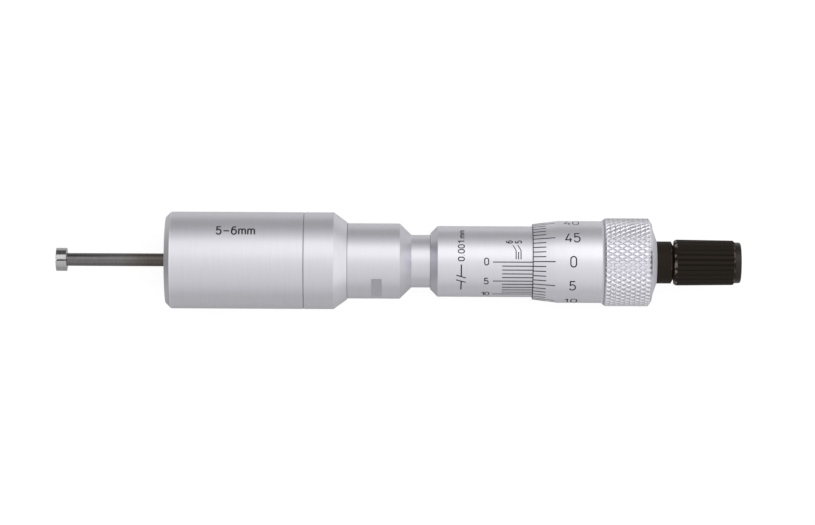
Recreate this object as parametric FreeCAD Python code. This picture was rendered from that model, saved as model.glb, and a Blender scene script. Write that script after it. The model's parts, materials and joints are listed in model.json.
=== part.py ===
"""Inside micrometer for bores of 5 to 6 mm, with a two-point split head.

Millimetres. The instrument lies along X. The origin is on its axis, at the middle of the
measuring head. +X runs to the ratchet and +Z to the side with the index line. The head opens
along Y, but for the few degrees by which its split is turned about the axis.
"""
import FreeCAD, Part
import math
import os

Vector = FreeCAD.Vector
X_AXIS = Vector(1, 0, 0)
ORIGIN = Vector(0, 0, 0)

# Fits
running_fit = 0.05
slip_fit = 0.02
end_float = 0.05
edge_break = 0.10

# Measuring range and drive
smallest_size = 4.80
largest_size = 6.00
thread_pitch = 0.50
thimble_turns = 7
cone_slope = 0.50

# Split measuring head
contact_length = 2.25
head_slit = 0.25
split_angle = 3.50
ramp_front = 0.10
ramp_play = 0.02

# Arms
stem_radius = 1.335
stem_length = 20.44
stem_slit = 0.04
root_depth = 5.00
root_flange_radius = 2.40
root_flange_length = 2.00
root_pivot_offset = 1.00
arm_play = 0.10

# Needle and plunger
needle_radius = 0.75
needle_play = 0.10
plunger_radius = 2.00
plunger_socket_depth = 5.00
plunger_head_radius = 2.50
plunger_head_length = 3.50
plunger_flange_radius = 3.10
plunger_flange_length = 2.00
plunger_rear_length = 12.15
stop_play = 0.40
ball_radius = 1.50
ball_seat_depth = 1.80
ball_gap = 0.02

# Return spring
spring_length = 12.00
spring_wire = 0.50
spring_turns = 7
seat_washer_thickness = 0.80
wire_sides = 6
steps_per_turn = 16

# Head drum
drum_radius = 10.00
drum_length = 28.53
drum_nose_chamfer = 1.08
drum_nose_wall = 2.00
drum_bore_radius = 6.50
joint_chamfer = 0.15

# Arm holder, clamp ring and needle guide
clamp_ring_radius = 4.00
clamp_ring_length = 2.50
pin_hole_radius = 0.40
pin_hole_depth = 1.00
pin_hole_circle = 2.60
guide_length = 7.00

# Drum collar
collar_cylinder = 6.18
collar_cone = 2.73
collar_end_radius = 8.00

# Handle body
handle_radius = 7.775
handle_length = 10.88
flat_start = 5.02
flat_width = 2.15
flat_depth = 0.53
flat_angle = 49.6
handle_cone = 2.40
neck_radius = 5.43
neck_length = 3.90
rear_spigot_radius = 4.20
rear_spigot_length = 7.20

# Sleeve and inner sleeve
sleeve_radius = 7.31
sleeve_face_radius = 5.81
sleeve_wall = 0.69
sleeve_length = 31.15
sleeve_lip = 1.20
nut_length = 10.00
nut_overhang = 6.00
nut_outer_radius = 5.40
nut_slot_width = 0.60
nut_slot_depth = 12.00
nut_slots = 3
adjusting_nut_length = 4.00
adjusting_nut_setback = 0.60

# Thimble
thimble_zero_offset = 2.50
index_to_sleeve_front = 18.56
thimble_play = 0.09
thimble_edge_wall = 0.39
thimble_bevel = 5.08
thimble_radius = 8.45
thimble_smooth = 9.15
knurl_rise = 0.80
knurl_radius = 9.09
knurl_length = 8.88
thimble_web = 5.65
crown_points = ((0.70, 8.00), (0.93, 6.80), (1.72, 4.53))
taper_front_radius = 4.20
taper_slope = 0.10

# Spindle
spindle_shank_radius = 2.50
spindle_waist_radius = 2.90
spindle_thread_radius = 3.20
spindle_socket_radius = 1.60
spindle_socket_depth = 6.00
spindle_draw_gap = 0.40

# Ratchet
ratchet_collar_radius = 4.35
ratchet_collar_length = 3.01
ratchet_collar_cone = 0.45
ratchet_collar_drop = 0.88
knob_gap = 0.20
knob_journal_radius = 2.90
knob_radius = 4.75
knob_rear_radius = 4.60
knob_length = 12.54
knob_front_chamfer = 0.50
knob_front_drop = 0.25
knob_rear_chamfer = 0.40
knob_web = 1.80
knob_cavity_radius = 3.90
knob_flutes = 26
flute_depth = 0.22
flute_angle = 100.0
ratchet_teeth = 24
tooth_height = 0.50
tooth_play = 0.03
click_ring_length = 1.60
drive_radius = 2.10
drive_flat = 1.60
click_spring_length = 3.60
click_spring_wire = 0.45
click_spring_turns = 4
screw_radius = 0.80
screw_depth = 4.00
screw_head_radius = 3.30
screw_head_length = 1.40
screw_slot_width = 0.60
screw_slot_depth = 0.60
cap_radius = 4.225
cap_length = 1.24
cap_plug_length = 2.20
cap_rounding = 0.45

# Radii that follow from the fits
contact_radius = smallest_size / 2
jaw_opening = (largest_size - smallest_size) / 2
travel = thread_pitch * thimble_turns
groove_radius = needle_radius + needle_play
sleeve_bore_radius = sleeve_radius - sleeve_wall
inner_sleeve_radius = sleeve_bore_radius - slip_fit
drum_fit_radius = drum_bore_radius - slip_fit
spring_bore_radius = plunger_flange_radius + 4 * running_fit
shank_bore_radius = max(spindle_shank_radius, plunger_head_radius) + running_fit
nut_bore_radius = spindle_thread_radius + running_fit
thimble_bore_radius = sleeve_radius + thimble_play

# Stations along X, from the measuring head to the ratchet
x_contact = contact_length / 2
x_nose = x_contact + stem_length
x_flange_front = x_nose + root_depth
x_pivot = x_flange_front + root_flange_length
x_holder_rear = x_pivot + end_float + clamp_ring_length
x_guide_rear = x_holder_rear + guide_length
x_seat_rear = x_guide_rear + seat_washer_thickness
x_drum_rear = x_nose + drum_length
x_collar_cone = x_drum_rear + collar_cylinder
x_handle = x_collar_cone + collar_cone
x_handle_cone = x_handle + handle_length
x_neck = x_handle_cone + handle_cone
x_sleeve = x_neck + neck_length
x_inner_sleeve = x_sleeve + sleeve_lip
x_spigot_rear = x_sleeve + rear_spigot_length
x_sleeve_rear = x_sleeve + sleeve_length
x_nut_rear = x_sleeve_rear + nut_overhang
x_nut_front = x_nut_rear - nut_length
x_thimble = x_sleeve + index_to_sleeve_front + thimble_zero_offset
x_thimble_smooth = x_thimble + thimble_bevel
x_knurl = x_thimble_smooth + thimble_smooth + knurl_rise
x_crown = x_knurl + knurl_length
x_thimble_rear = x_crown + crown_points[-1][0]
x_web = x_thimble_rear - thimble_web

# Stations of the moving string, with the thimble drawn back as in the photograph
x_needle_tip = ramp_front + travel - jaw_opening / cone_slope + ramp_play
x_plunger_front = x_holder_rear + travel + stop_play
x_plunger_flange = x_seat_rear + spring_length
x_plunger_stop = x_plunger_flange + plunger_flange_length
x_plunger_rear = x_plunger_stop + plunger_rear_length + plunger_head_length
x_ball = x_plunger_rear + ball_radius - ball_seat_depth
x_spindle = x_ball + ball_radius + ball_gap
x_waist = x_spigot_rear + travel + stop_play
x_thread = x_nut_front - travel
x_spindle_rear = x_thimble_rear - spindle_draw_gap

# Stations of the ratchet
x_ratchet_cone = x_thimble_rear + ratchet_collar_length
x_ratchet_journal = x_ratchet_cone + ratchet_collar_cone
x_knob = x_ratchet_journal + knob_gap
x_teeth = x_knob + knob_web
x_click_ring = x_teeth + tooth_height
x_click_spring = x_click_ring + click_ring_length
x_screw_head = x_click_spring + click_spring_length
x_knob_rear = x_knob + knob_length


def rod(start, end, radius):
    """A cylinder on the axis."""
    return Part.makeCylinder(radius, end - start, Vector(start, 0, 0), X_AXIS)


def tube(start, end, inner, outer):
    """A ring or sleeve on the axis."""
    return rod(start, end, outer).cut(rod(start, end, inner))


def flat_face(*corners):
    """A flat face between its corners."""
    return Part.Face(Part.makePolygon([*corners, corners[0]]))


def turned(outline):
    """A solid turned about the axis from a closed outline of (station, radius) corners."""
    corners = [Vector(x, radius, 0) for x, radius in outline]
    return flat_face(*corners).revolve(ORIGIN, X_AXIS, 360)


def turned_about_axis(solid, angle):
    """A copy of a solid, turned about the instrument's axis."""
    copy = solid.copy()
    copy.rotate(ORIGIN, X_AXIS, angle)
    return copy


def half_space(side, slit):
    """A block that holds what lies on one side of the split, half a slit away from it."""
    reach = 2 * drum_radius
    length = 2 * (x_pivot + contact_length)
    low = slit / 2 if side > 0 else -slit / 2 - reach
    block = Part.makeBox(length, reach, 2 * reach, Vector(-length / 2, low, -reach))
    return turned_about_axis(block, split_angle)


def wire_section(station, angle, mean_radius, wire):
    """Corners of the wire's section where the coil stands at this angle about the axis."""
    around = math.radians(angle)
    corners = []
    for i in range(wire_sides):
        turn = 2 * math.pi * i / wire_sides
        radius = mean_radius + wire / 2 * math.cos(turn)
        x = station + wire / 2 * math.sin(turn)
        corners.append(Vector(x, radius * math.cos(around), radius * math.sin(around)))
    return corners


def spring(start, end, mean_radius, wire, turns):
    """A coil whose ends lie against the two seats; the wire is drawn with flat sides."""
    rise = end - start - wire
    steps = turns * steps_per_turn
    sections = []
    for i in range(steps + 1):
        station = start + wire / 2 + rise * i / steps
        sections.append(wire_section(station, 360 * i / steps_per_turn, mean_radius, wire))
    faces = [flat_face(*sections[0]), flat_face(*sections[-1])]
    for near, far in zip(sections, sections[1:]):
        for k in range(wire_sides):
            faces.append(flat_face(near[k - 1], near[k], far[k]))
            faces.append(flat_face(near[k - 1], far[k], far[k - 1]))
    return Part.makeSolid(Part.makeShell(faces))


def contact(side):
    """Half disc of the measuring head, with the ramp that the needle's cone spreads."""
    disc = turned([
        (-x_contact, 0),
        (-x_contact, contact_radius - edge_break),
        (-x_contact + edge_break, contact_radius),
        (x_contact - edge_break, contact_radius),
        (x_contact, contact_radius - edge_break),
        (x_contact, 0),
    ])
    half = disc.common(half_space(side, head_slit))
    return half.cut(ramp(side))


def ramp(side):
    """The wedge cut from a contact: it opens towards the stem and is as wide as the groove."""
    rise = cone_slope * (x_contact - ramp_front)
    corners = [
        Vector(ramp_front, 0, -groove_radius),
        Vector(x_contact, 0, -groove_radius),
        Vector(x_contact, side * rise, -groove_radius),
    ]
    wedge = flat_face(*corners).extrude(Vector(0, 0, 2 * groove_radius))
    return turned_about_axis(wedge, split_angle)


def arm(side):
    """Half-round spring arm with the half flange that is clamped in the drum."""
    whole = turned([
        (x_contact, groove_radius),
        (x_contact, stem_radius),
        (x_flange_front, stem_radius),
        (x_flange_front, root_flange_radius),
        (x_pivot, root_flange_radius),
        (x_pivot, groove_radius),
    ])
    return whole.common(half_space(side, stem_slit))


def opened_stem_radius():
    """Room that the arms need in the nose when the head is at its largest size."""
    lean = jaw_opening / x_pivot
    return stem_radius + (x_pivot - x_nose) * lean + arm_play


def head_drum():
    """Drum with the range on it: a cup with a hole in its nose for the arms."""
    return turned([
        (x_nose, opened_stem_radius()),
        (x_nose, drum_radius - drum_nose_chamfer),
        (x_nose + drum_nose_chamfer, drum_radius),
        (x_drum_rear - joint_chamfer, drum_radius),
        (x_drum_rear, drum_radius - joint_chamfer),
        (x_drum_rear, drum_bore_radius),
        (x_nose + drum_nose_wall, drum_bore_radius),
        (x_nose + drum_nose_wall, opened_stem_radius()),
    ])


def arm_holder():
    """Cup that holds the arms' flanges with a little room to lean."""
    flange_pocket = root_flange_radius + arm_play
    return turned([
        (x_nose + drum_nose_wall, opened_stem_radius()),
        (x_nose + drum_nose_wall, drum_fit_radius),
        (x_holder_rear, drum_fit_radius),
        (x_holder_rear, clamp_ring_radius),
        (x_pivot + end_float, clamp_ring_radius),
        (x_pivot + end_float, flange_pocket),
        (x_flange_front - end_float, flange_pocket),
        (x_flange_front - end_float, opened_stem_radius()),
    ])


def clamp_ring():
    """Ring that closes the cup behind the flanges, with two holes for a pin spanner."""
    start = x_pivot + end_float
    ring = tube(start, x_holder_rear, groove_radius + needle_play, clamp_ring_radius - slip_fit)
    hole = Part.makeCylinder(
        pin_hole_radius, pin_hole_depth, Vector(x_holder_rear - pin_hole_depth, pin_hole_circle, 0), X_AXIS
    )
    return ring.cut([hole, turned_about_axis(hole, 180)])


def needle_guide():
    """Bush that guides the front of the plunger."""
    return tube(x_holder_rear, x_guide_rear, plunger_radius + running_fit, drum_fit_radius)


def spring_seat():
    """Washer that carries the front end of the return spring."""
    return tube(x_guide_rear, x_seat_rear, plunger_radius + 2 * running_fit, drum_fit_radius)


def return_spring():
    """Coil that pushes the plunger back against the spindle."""
    mean_radius = (plunger_radius + spring_bore_radius) / 2
    return spring(x_seat_rear, x_plunger_flange, mean_radius, spring_wire, spring_turns)


def needle():
    """Slim rod whose cone spreads the head; its rear end sits in the plunger."""
    cone_length = needle_radius / cone_slope
    return turned([
        (x_needle_tip, 0),
        (x_needle_tip + cone_length, needle_radius),
        (x_plunger_front + plunger_socket_depth, needle_radius),
        (x_plunger_front + plunger_socket_depth, 0),
    ])


def plunger():
    """Rod between needle and spindle, with the spring's flange and the seat of the ball."""
    x_head = x_plunger_rear - plunger_head_length
    body = turned([
        (x_plunger_front, 0),
        (x_plunger_front, plunger_radius - edge_break),
        (x_plunger_front + edge_break, plunger_radius),
        (x_plunger_flange, plunger_radius),
        (x_plunger_flange, plunger_flange_radius),
        (x_plunger_stop, plunger_flange_radius),
        (x_plunger_stop, plunger_radius),
        (x_head, plunger_radius),
        (x_head, plunger_head_radius),
        (x_plunger_rear, plunger_head_radius),
        (x_plunger_rear, 0),
    ])
    socket = rod(x_plunger_front, x_plunger_front + plunger_socket_depth, needle_radius)
    seat = Part.makeSphere(ball_radius, Vector(x_ball, 0, 0))
    return body.cut([socket, seat])


def contact_ball():
    """Hard ball that lets the spindle turn against the plunger."""
    return Part.makeSphere(ball_radius, Vector(x_ball, 0, 0))


def drum_collar():
    """Ring between the drum and the handle body, flush with the drum, with a cone behind."""
    bore = drum_bore_radius
    return turned([
        (x_drum_rear, bore),
        (x_drum_rear, drum_radius - joint_chamfer),
        (x_drum_rear + joint_chamfer, drum_radius),
        (x_collar_cone, drum_radius),
        (x_handle, collar_end_radius),
        (x_handle, bore),
    ])


def spanner_flat(angle):
    """The block that cuts one spanner flat into the handle body."""
    start = x_handle + flat_start
    flat_height = handle_radius - flat_depth
    block = Part.makeBox(
        flat_width, 2 * handle_radius, handle_radius, Vector(start, -handle_radius, flat_height)
    )
    return turned_about_axis(block, angle)


def handle_body():
    """Body between collar and sleeve: front spigot, grip with two flats, cone, neck, rear spigot."""
    x_stop = x_plunger_stop + stop_play
    body = turned([
        (x_seat_rear, spring_bore_radius),
        (x_seat_rear, drum_fit_radius),
        (x_handle, drum_fit_radius),
        (x_handle, handle_radius - edge_break),
        (x_handle + edge_break, handle_radius),
        (x_handle_cone, handle_radius),
        (x_neck, neck_radius),
        (x_sleeve, neck_radius),
        (x_sleeve, rear_spigot_radius),
        (x_spigot_rear, rear_spigot_radius),
        (x_spigot_rear, shank_bore_radius),
        (x_stop, shank_bore_radius),
        (x_stop, spring_bore_radius),
    ])
    return body.cut([spanner_flat(flat_angle), spanner_flat(flat_angle + 180)])


def sleeve():
    """Outer sleeve that carries the scales; its lip meets the neck."""
    return turned([
        (x_sleeve, rear_spigot_radius + slip_fit),
        (x_sleeve, sleeve_face_radius),
        (x_sleeve + sleeve_radius - sleeve_face_radius, sleeve_radius),
        (x_sleeve_rear, sleeve_radius),
        (x_sleeve_rear, sleeve_bore_radius),
        (x_inner_sleeve, sleeve_bore_radius),
        (x_inner_sleeve, rear_spigot_radius + slip_fit),
    ])


def inner_sleeve():
    """Fixed sleeve under the graduated one, with the slotted nut at its rear end."""
    body = turned([
        (x_inner_sleeve, rear_spigot_radius + slip_fit),
        (x_inner_sleeve, inner_sleeve_radius),
        (x_sleeve_rear, inner_sleeve_radius),
        (x_sleeve_rear, nut_outer_radius),
        (x_nut_rear, nut_outer_radius),
        (x_nut_rear, nut_bore_radius),
        (x_nut_front, nut_bore_radius),
        (x_nut_front, nut_bore_radius + 2 * running_fit),
        (x_spigot_rear, nut_bore_radius + 2 * running_fit),
        (x_spigot_rear, rear_spigot_radius + slip_fit),
    ])
    slot = Part.makeBox(
        nut_slot_depth,
        nut_slot_width,
        inner_sleeve_radius,
        Vector(x_nut_rear - nut_slot_depth, -nut_slot_width / 2, 0),
    )
    return body.cut([turned_about_axis(slot, 360 * i / nut_slots) for i in range(nut_slots)])


def adjusting_nut():
    """Nut that closes the slotted end on the spindle's thread, as wide as the inner sleeve."""
    end = x_nut_rear - adjusting_nut_setback
    return tube(end - adjusting_nut_length, end, nut_outer_radius + slip_fit, inner_sleeve_radius)


def taper_radius(station):
    """Radius of the taper on which the thimble sits, at a station along X."""
    return taper_front_radius - taper_slope * (station - x_web)


def spindle():
    """Spindle: front shank, thread, taper for the thimble and socket for the ratchet."""
    body = turned([
        (x_spindle, 0),
        (x_spindle, spindle_shank_radius - edge_break),
        (x_spindle + edge_break, spindle_shank_radius),
        (x_waist, spindle_shank_radius),
        (x_waist, spindle_waist_radius),
        (x_thread, spindle_waist_radius),
        (x_thread, spindle_thread_radius),
        (x_web, spindle_thread_radius),
        (x_web, taper_radius(x_web)),
        (x_spindle_rear, taper_radius(x_spindle_rear)),
        (x_spindle_rear, 0),
    ])
    socket_front = x_spindle_rear - spindle_socket_depth
    return body.cut(rod(socket_front, x_spindle_rear, spindle_socket_radius + slip_fit))


def thimble():
    """Thimble: thin graduated bevel, smooth drum, knurl band, crown and inner taper."""
    crown = [(x_crown + step, radius) for step, radius in crown_points]
    return turned([
        (x_thimble, thimble_bore_radius),
        (x_thimble, thimble_bore_radius + thimble_edge_wall),
        (x_thimble_smooth, thimble_radius),
        (x_knurl - knurl_rise, thimble_radius),
        (x_knurl, knurl_radius),
        (x_crown, knurl_radius),
        *crown,
        (x_thimble_rear, taper_radius(x_thimble_rear)),
        (x_web, taper_radius(x_web)),
        (x_web, thimble_bore_radius),
    ])


def ratchet_body():
    """Black collar that draws the thimble onto its taper and carries the ratchet."""
    x_drive_rear = x_screw_head
    body = turned([
        (x_spindle_rear - spindle_socket_depth + stop_play, 0),
        (x_spindle_rear - spindle_socket_depth + stop_play, spindle_socket_radius),
        (x_thimble_rear, spindle_socket_radius),
        (x_thimble_rear, ratchet_collar_radius - edge_break),
        (x_thimble_rear + edge_break, ratchet_collar_radius),
        (x_ratchet_cone, ratchet_collar_radius),
        (x_ratchet_journal, ratchet_collar_radius - ratchet_collar_drop),
        (x_ratchet_journal, knob_journal_radius),
        (x_teeth, knob_journal_radius),
        (x_teeth, drive_radius),
        (x_drive_rear, drive_radius),
        (x_drive_rear, 0),
    ])
    flats = [drive_flat_block(side, drive_flat) for side in (1, -1)]
    thread_hole = rod(x_drive_rear - screw_depth, x_drive_rear, screw_radius)
    return body.cut(flats + [thread_hole])


def drive_flat_block(side, distance):
    """What is cut away beyond one of the two flats that turn the click ring."""
    depth = knob_cavity_radius
    low = distance if side > 0 else -distance - depth
    return Part.makeBox(x_screw_head - x_teeth, 2 * depth, depth, Vector(x_teeth, -depth, low))


def ratchet_tooth(angle, base, reach):
    """One saw tooth on a plane across the axis: a pyramid with its apex on the axis."""
    step = math.radians(360 / ratchet_teeth)
    start = math.radians(angle)
    height = tooth_height * reach / knob_cavity_radius
    apex = Vector(base, 0, 0)
    low = Vector(base, reach * math.cos(start), reach * math.sin(start))
    high_foot = Vector(base, reach * math.cos(start + step), reach * math.sin(start + step))
    high = high_foot + Vector(height, 0, 0)
    triangles = ((apex, low, high_foot), (apex, low, high), (apex, high_foot, high), (low, high_foot, high))
    return Part.makeSolid(Part.makeShell([flat_face(*triangle) for triangle in triangles]))


def ratchet_teeth_ring(base):
    """All saw teeth that stand on the plane at base, wider than the parts that they meet."""
    step = 360 / ratchet_teeth
    reach = 2 * knob_cavity_radius
    return [ratchet_tooth(i * step, base, reach) for i in range(ratchet_teeth)]


def knob_teeth():
    """The knob's saw teeth, trimmed to the ring that stands inside the knob."""
    inner = knob_journal_radius + running_fit
    ring = tube(x_teeth, x_click_ring + tooth_height, inner, knob_cavity_radius)
    return [tooth.common(ring) for tooth in ratchet_teeth_ring(x_teeth)]


def knob_outer_radius(station):
    """The knob tapers a little towards its rear end."""
    return knob_radius - (knob_radius - knob_rear_radius) * (station - x_knob) / knob_length


def flute():
    """One V groove along the knob, on its +Y side, for the pattern of flutes."""
    half_width = flute_depth * math.tan(math.radians(flute_angle / 2))
    sections = []
    for station in (x_knob, x_knob_rear):
        radius = knob_outer_radius(station)
        corners = [
            Vector(station, radius - flute_depth, 0),
            Vector(station, radius + flute_depth, 2 * half_width),
            Vector(station, radius + flute_depth, -2 * half_width),
        ]
        sections.append(Part.makePolygon(corners + corners[:1]))
    return Part.makeLoft(sections, True, True)


def ratchet_knob():
    """Black fluted knob, hollow, with the ratchet's teeth on its inner face."""
    body = turned([
        (x_knob, knob_journal_radius + running_fit),
        (x_knob, knob_radius - knob_front_drop),
        (x_knob + knob_front_chamfer, knob_radius),
        (x_knob_rear - knob_rear_chamfer, knob_rear_radius),
        (x_knob_rear, knob_rear_radius - knob_rear_chamfer),
        (x_knob_rear, knob_cavity_radius),
        (x_teeth, knob_cavity_radius),
        (x_teeth, knob_journal_radius + running_fit),
    ])
    groove = flute()
    fluted = body.cut([turned_about_axis(groove, 360 * i / knob_flutes) for i in range(knob_flutes)])
    return fluted.fuse(knob_teeth())


def click_ring():
    """Toothed ring that slides on the drive flats and clicks over the knob's teeth."""
    body = rod(x_teeth + tooth_play, x_click_spring, knob_cavity_radius - running_fit)
    bore = rod(x_teeth, x_click_spring, drive_radius + running_fit)
    flats = [drive_flat_block(side, drive_flat + running_fit) for side in (1, -1)]
    ring = body.cut(bore.cut(flats))
    recess = rod(x_teeth, x_teeth + 2 * tooth_play, knob_journal_radius + 2 * running_fit)
    return ring.cut(ratchet_teeth_ring(x_teeth + tooth_play) + [recess])


def click_spring():
    """Coil that presses the click ring against the knob's teeth."""
    mean_radius = (drive_radius + knob_cavity_radius) / 2
    return spring(x_click_spring, x_screw_head, mean_radius, click_spring_wire, click_spring_turns)


def ratchet_screw():
    """Slotted screw whose wide head holds the click spring."""
    x_rear = x_screw_head + screw_head_length
    body = turned([
        (x_screw_head - screw_depth + stop_play, 0),
        (x_screw_head - screw_depth + stop_play, screw_radius),
        (x_screw_head, screw_radius),
        (x_screw_head, screw_head_radius),
        (x_rear - edge_break, screw_head_radius),
        (x_rear, screw_head_radius - edge_break),
        (x_rear, 0),
    ])
    slot = Part.makeBox(
        screw_slot_depth,
        screw_slot_width,
        2 * screw_head_radius,
        Vector(x_rear - screw_slot_depth, -screw_slot_width / 2, -screw_head_radius),
    )
    return body.cut(slot)


def end_cap():
    """Rounded cap that is pressed into the knob's rear end."""
    x_rear = x_knob_rear + cap_length
    body = turned([
        (x_knob_rear - cap_plug_length, 0),
        (x_knob_rear - cap_plug_length, knob_cavity_radius - slip_fit),
        (x_knob_rear, knob_cavity_radius - slip_fit),
        (x_knob_rear, cap_radius),
        (x_rear, cap_radius),
        (x_rear, 0),
    ])
    rim = [edge for edge in body.Edges if is_rim(edge, x_rear, cap_radius)]
    return body.makeFillet(cap_rounding, rim)


def is_rim(edge, station, radius):
    """Whether an edge is the circle of this radius that lies at this station."""
    box = edge.BoundBox
    flat = abs(box.XMin - station) < edge_break / 10 and abs(box.XMax - station) < edge_break / 10
    return flat and abs(box.YMax - radius) < edge_break / 10


def pieces():
    """Every piece of the micrometer by its name."""
    return {
        "upper_contact": contact(1),
        "lower_contact": contact(-1),
        "upper_arm": arm(1),
        "lower_arm": arm(-1),
        "head_drum": head_drum(),
        "arm_holder": arm_holder(),
        "clamp_ring": clamp_ring(),
        "needle_guide": needle_guide(),
        "spring_seat": spring_seat(),
        "return_spring": return_spring(),
        "needle": needle(),
        "plunger": plunger(),
        "contact_ball": contact_ball(),
        "drum_collar": drum_collar(),
        "handle_body": handle_body(),
        "sleeve": sleeve(),
        "inner_sleeve": inner_sleeve(),
        "adjusting_nut": adjusting_nut(),
        "spindle": spindle(),
        "thimble": thimble(),
        "ratchet_body": ratchet_body(),
        "ratchet_knob": ratchet_knob(),
        "click_ring": click_ring(),
        "click_spring": click_spring(),
        "ratchet_screw": ratchet_screw(),
        "end_cap": end_cap(),
    }


os.makedirs("parts", exist_ok=True)
for name, shape in pieces().items():
    shape.exportStep(f"parts/{name}.step")
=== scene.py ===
import json
import math

import bpy
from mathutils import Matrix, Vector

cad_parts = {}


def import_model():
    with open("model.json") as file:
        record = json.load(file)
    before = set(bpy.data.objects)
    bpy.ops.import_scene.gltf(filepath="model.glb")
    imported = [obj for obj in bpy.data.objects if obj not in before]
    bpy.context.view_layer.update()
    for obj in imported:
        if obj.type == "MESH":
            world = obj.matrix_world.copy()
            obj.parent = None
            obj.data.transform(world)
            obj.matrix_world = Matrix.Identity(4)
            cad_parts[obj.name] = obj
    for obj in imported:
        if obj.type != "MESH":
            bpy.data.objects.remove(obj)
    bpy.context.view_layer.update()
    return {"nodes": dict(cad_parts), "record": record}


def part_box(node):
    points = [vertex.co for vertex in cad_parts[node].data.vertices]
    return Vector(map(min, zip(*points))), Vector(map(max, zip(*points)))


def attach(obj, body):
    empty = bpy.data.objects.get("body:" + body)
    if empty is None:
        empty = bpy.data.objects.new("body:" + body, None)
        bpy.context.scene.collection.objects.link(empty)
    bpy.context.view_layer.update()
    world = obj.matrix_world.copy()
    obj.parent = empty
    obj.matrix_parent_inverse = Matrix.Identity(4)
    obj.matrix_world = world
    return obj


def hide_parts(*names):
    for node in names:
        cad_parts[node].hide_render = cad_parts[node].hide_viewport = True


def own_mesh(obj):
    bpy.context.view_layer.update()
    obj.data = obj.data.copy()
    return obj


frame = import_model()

MM = 0.001

# Length in millimetres below which two places are taken for one
TINY = 1e-6


def reach(node):
    """Front end, rear end and radius of a turned CAD node, in millimetres."""
    low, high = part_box(node)
    return [round(value / MM, 3) for value in (low.x, high.x, high.y)]


# Turned parts: stations along X and radii in millimetres, from the frame where its boxes show them
NOSE_X, DRUM_REAR_X, DRUM_RADIUS = reach("head_drum")
NOSE_END_X = NOSE_X + 1.08
JOINT_RADIUS = DRUM_RADIUS - 0.10
HANDLE_X = reach("drum_collar")[1]
HANDLE_RADIUS = reach("handle_body")[2]
COLLAR_CONE_X = HANDLE_X - 2.73
SLEEVE_X, _, SLEEVE_RADIUS = reach("sleeve")
SLEEVE_FACE_RADIUS = 5.81
SLEEVE_FACE_END = SLEEVE_X + SLEEVE_RADIUS - SLEEVE_FACE_RADIUS
NECK_RADIUS = 5.43
THIMBLE_EDGE_X, THIMBLE_REAR_X, KNURL_RADIUS = reach("thimble")
THIMBLE_EDGE_RADIUS = 7.79
BEVEL_END_X = THIMBLE_EDGE_X + 5.08
THIMBLE_RADIUS = 8.45
THIMBLE_BORE = 7.40
WEB_X = THIMBLE_REAR_X - 5.65
TAPER_AT_WEB = 4.20
TAPER_AT_REAR = 3.635
KNOB_X, KNOB_REAR_X, _ = reach("ratchet_knob")

# Spanner flats and the split of the head
FLAT_X = HANDLE_X + 5.02
FLAT_WIDTH = 2.15
FLAT_DEPTH = 0.53
FLAT_ANGLE = math.radians(49.6)
SPLIT_ANGLE = math.radians(3.5)
# Reach of the slit's painted shade on each side of the split's plane
SLIT_SHADE_REACH = 0.14

# Knurl
KNURL_FRONT_X = THIMBLE_EDGE_X + 14.23
KNURL_TOP_X = KNURL_FRONT_X + 0.80
KNURL_REAR_X = THIMBLE_REAR_X - 1.72
KNURL_STARTS = 50
KNURL_PITCH = 2.03
KNURL_DEPTH = 0.22
KNURL_FLAT = 0.42
KNURL_STEPS = 8
CROWN = ((THIMBLE_REAR_X - 1.02, 8.00), (THIMBLE_REAR_X - 0.79, 6.80), (THIMBLE_REAR_X, 4.53))

# Rubbed edges of the black parts, which also carry painted glints: start, end and what they add to the
# colour
WORN_EDGES_AND_GLINTS = (
    (KNOB_X - 0.695, KNOB_X - 0.575, (0.13, 0.09, 0.06)),
    (KNOB_X - 0.035, KNOB_X + 0.525, (0.24, 0.20, 0.18)),
    (KNOB_REAR_X - 0.375, KNOB_REAR_X - 0.055, (0.10, 0.08, 0.07)),
)

# Return spring, which starts at its seat
SPRING_FRONT_X = reach("spring_seat")[1]
SPRING_REAR_X = SPRING_FRONT_X + 12.0
SPRING_RADIUS = 2.65
SPRING_WIRE = 0.50
SPRING_TURNS = 7
SPRING_STEPS = 24
WIRE_SIDES = 16

# Range on the drum: place, height of the letters and width of their strokes
RANGE_X = 36.21
RANGE_ANGLE = math.radians(37.7)
RANGE_HEIGHT = 1.95
RANGE_STROKE = 0.30

# Vernier on the sleeve: a numeral has its station along X and how far it stands below its line
VERNIER_LINES = 11
VERNIER_STEP = math.radians(6.48)
VERNIER_DROP = 0.09
VERNIER_LONG_X = 89.0
VERNIER_SHORT_X = 90.9
VERNIER_END_X = THIMBLE_EDGE_X + 0.6
VERNIER_NUMERALS = (("0", 87.70, 0), ("5", 87.66, 0.15), ("10", 87.50, 0))
VERNIER_HEIGHT = 1.39
VERNIER_STROKE = 0.22

# Main scale on the sleeve: stations along X, and ends round it in degrees from the top
SIX_X = 93.745
HALF_X = 94.245
FIVE_X = 94.745
MAIN_START = 3.8
MAIN_END = 18.5
HALF_END = 15.9
SLANT_END = 27.5
SLANT_REACH = 0.66
MAIN_NUMERALS = (("6", 92.38), ("5", 94.25))
MAIN_NUMERAL_AT = 33.6
MAIN_HEIGHT = 1.25
MAIN_STROKE = 0.215

# Value of a division on the sleeve: text, station along X, degrees from the top, height, width of the
# strokes, stretch and gap
DIVISION_VALUE = (
    ("0.00", 82.52, 14.5, 1.22, 0.22, 1.09, 0.29),
    ("1", 82.52, 33.2, 1.22, 0.22, 1.09, 0.20),
    ("mm", 82.60, 50.8, 1.05, 0.20, 1.25, 0.32),
)

# Sign beside it: two ends of each line as station along X and degrees from the top, and its width
DIVISION_SIGN = (
    ((82.53, -5.0), (82.53, -25.5), 0.27),
    ((81.52, -22.8), (83.47, -27.6), 0.22),
    ((81.45, -31.1), (83.47, -35.9), 0.22),
    ((82.53, -33.5), (82.47, -52.0), 0.27),
)

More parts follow.
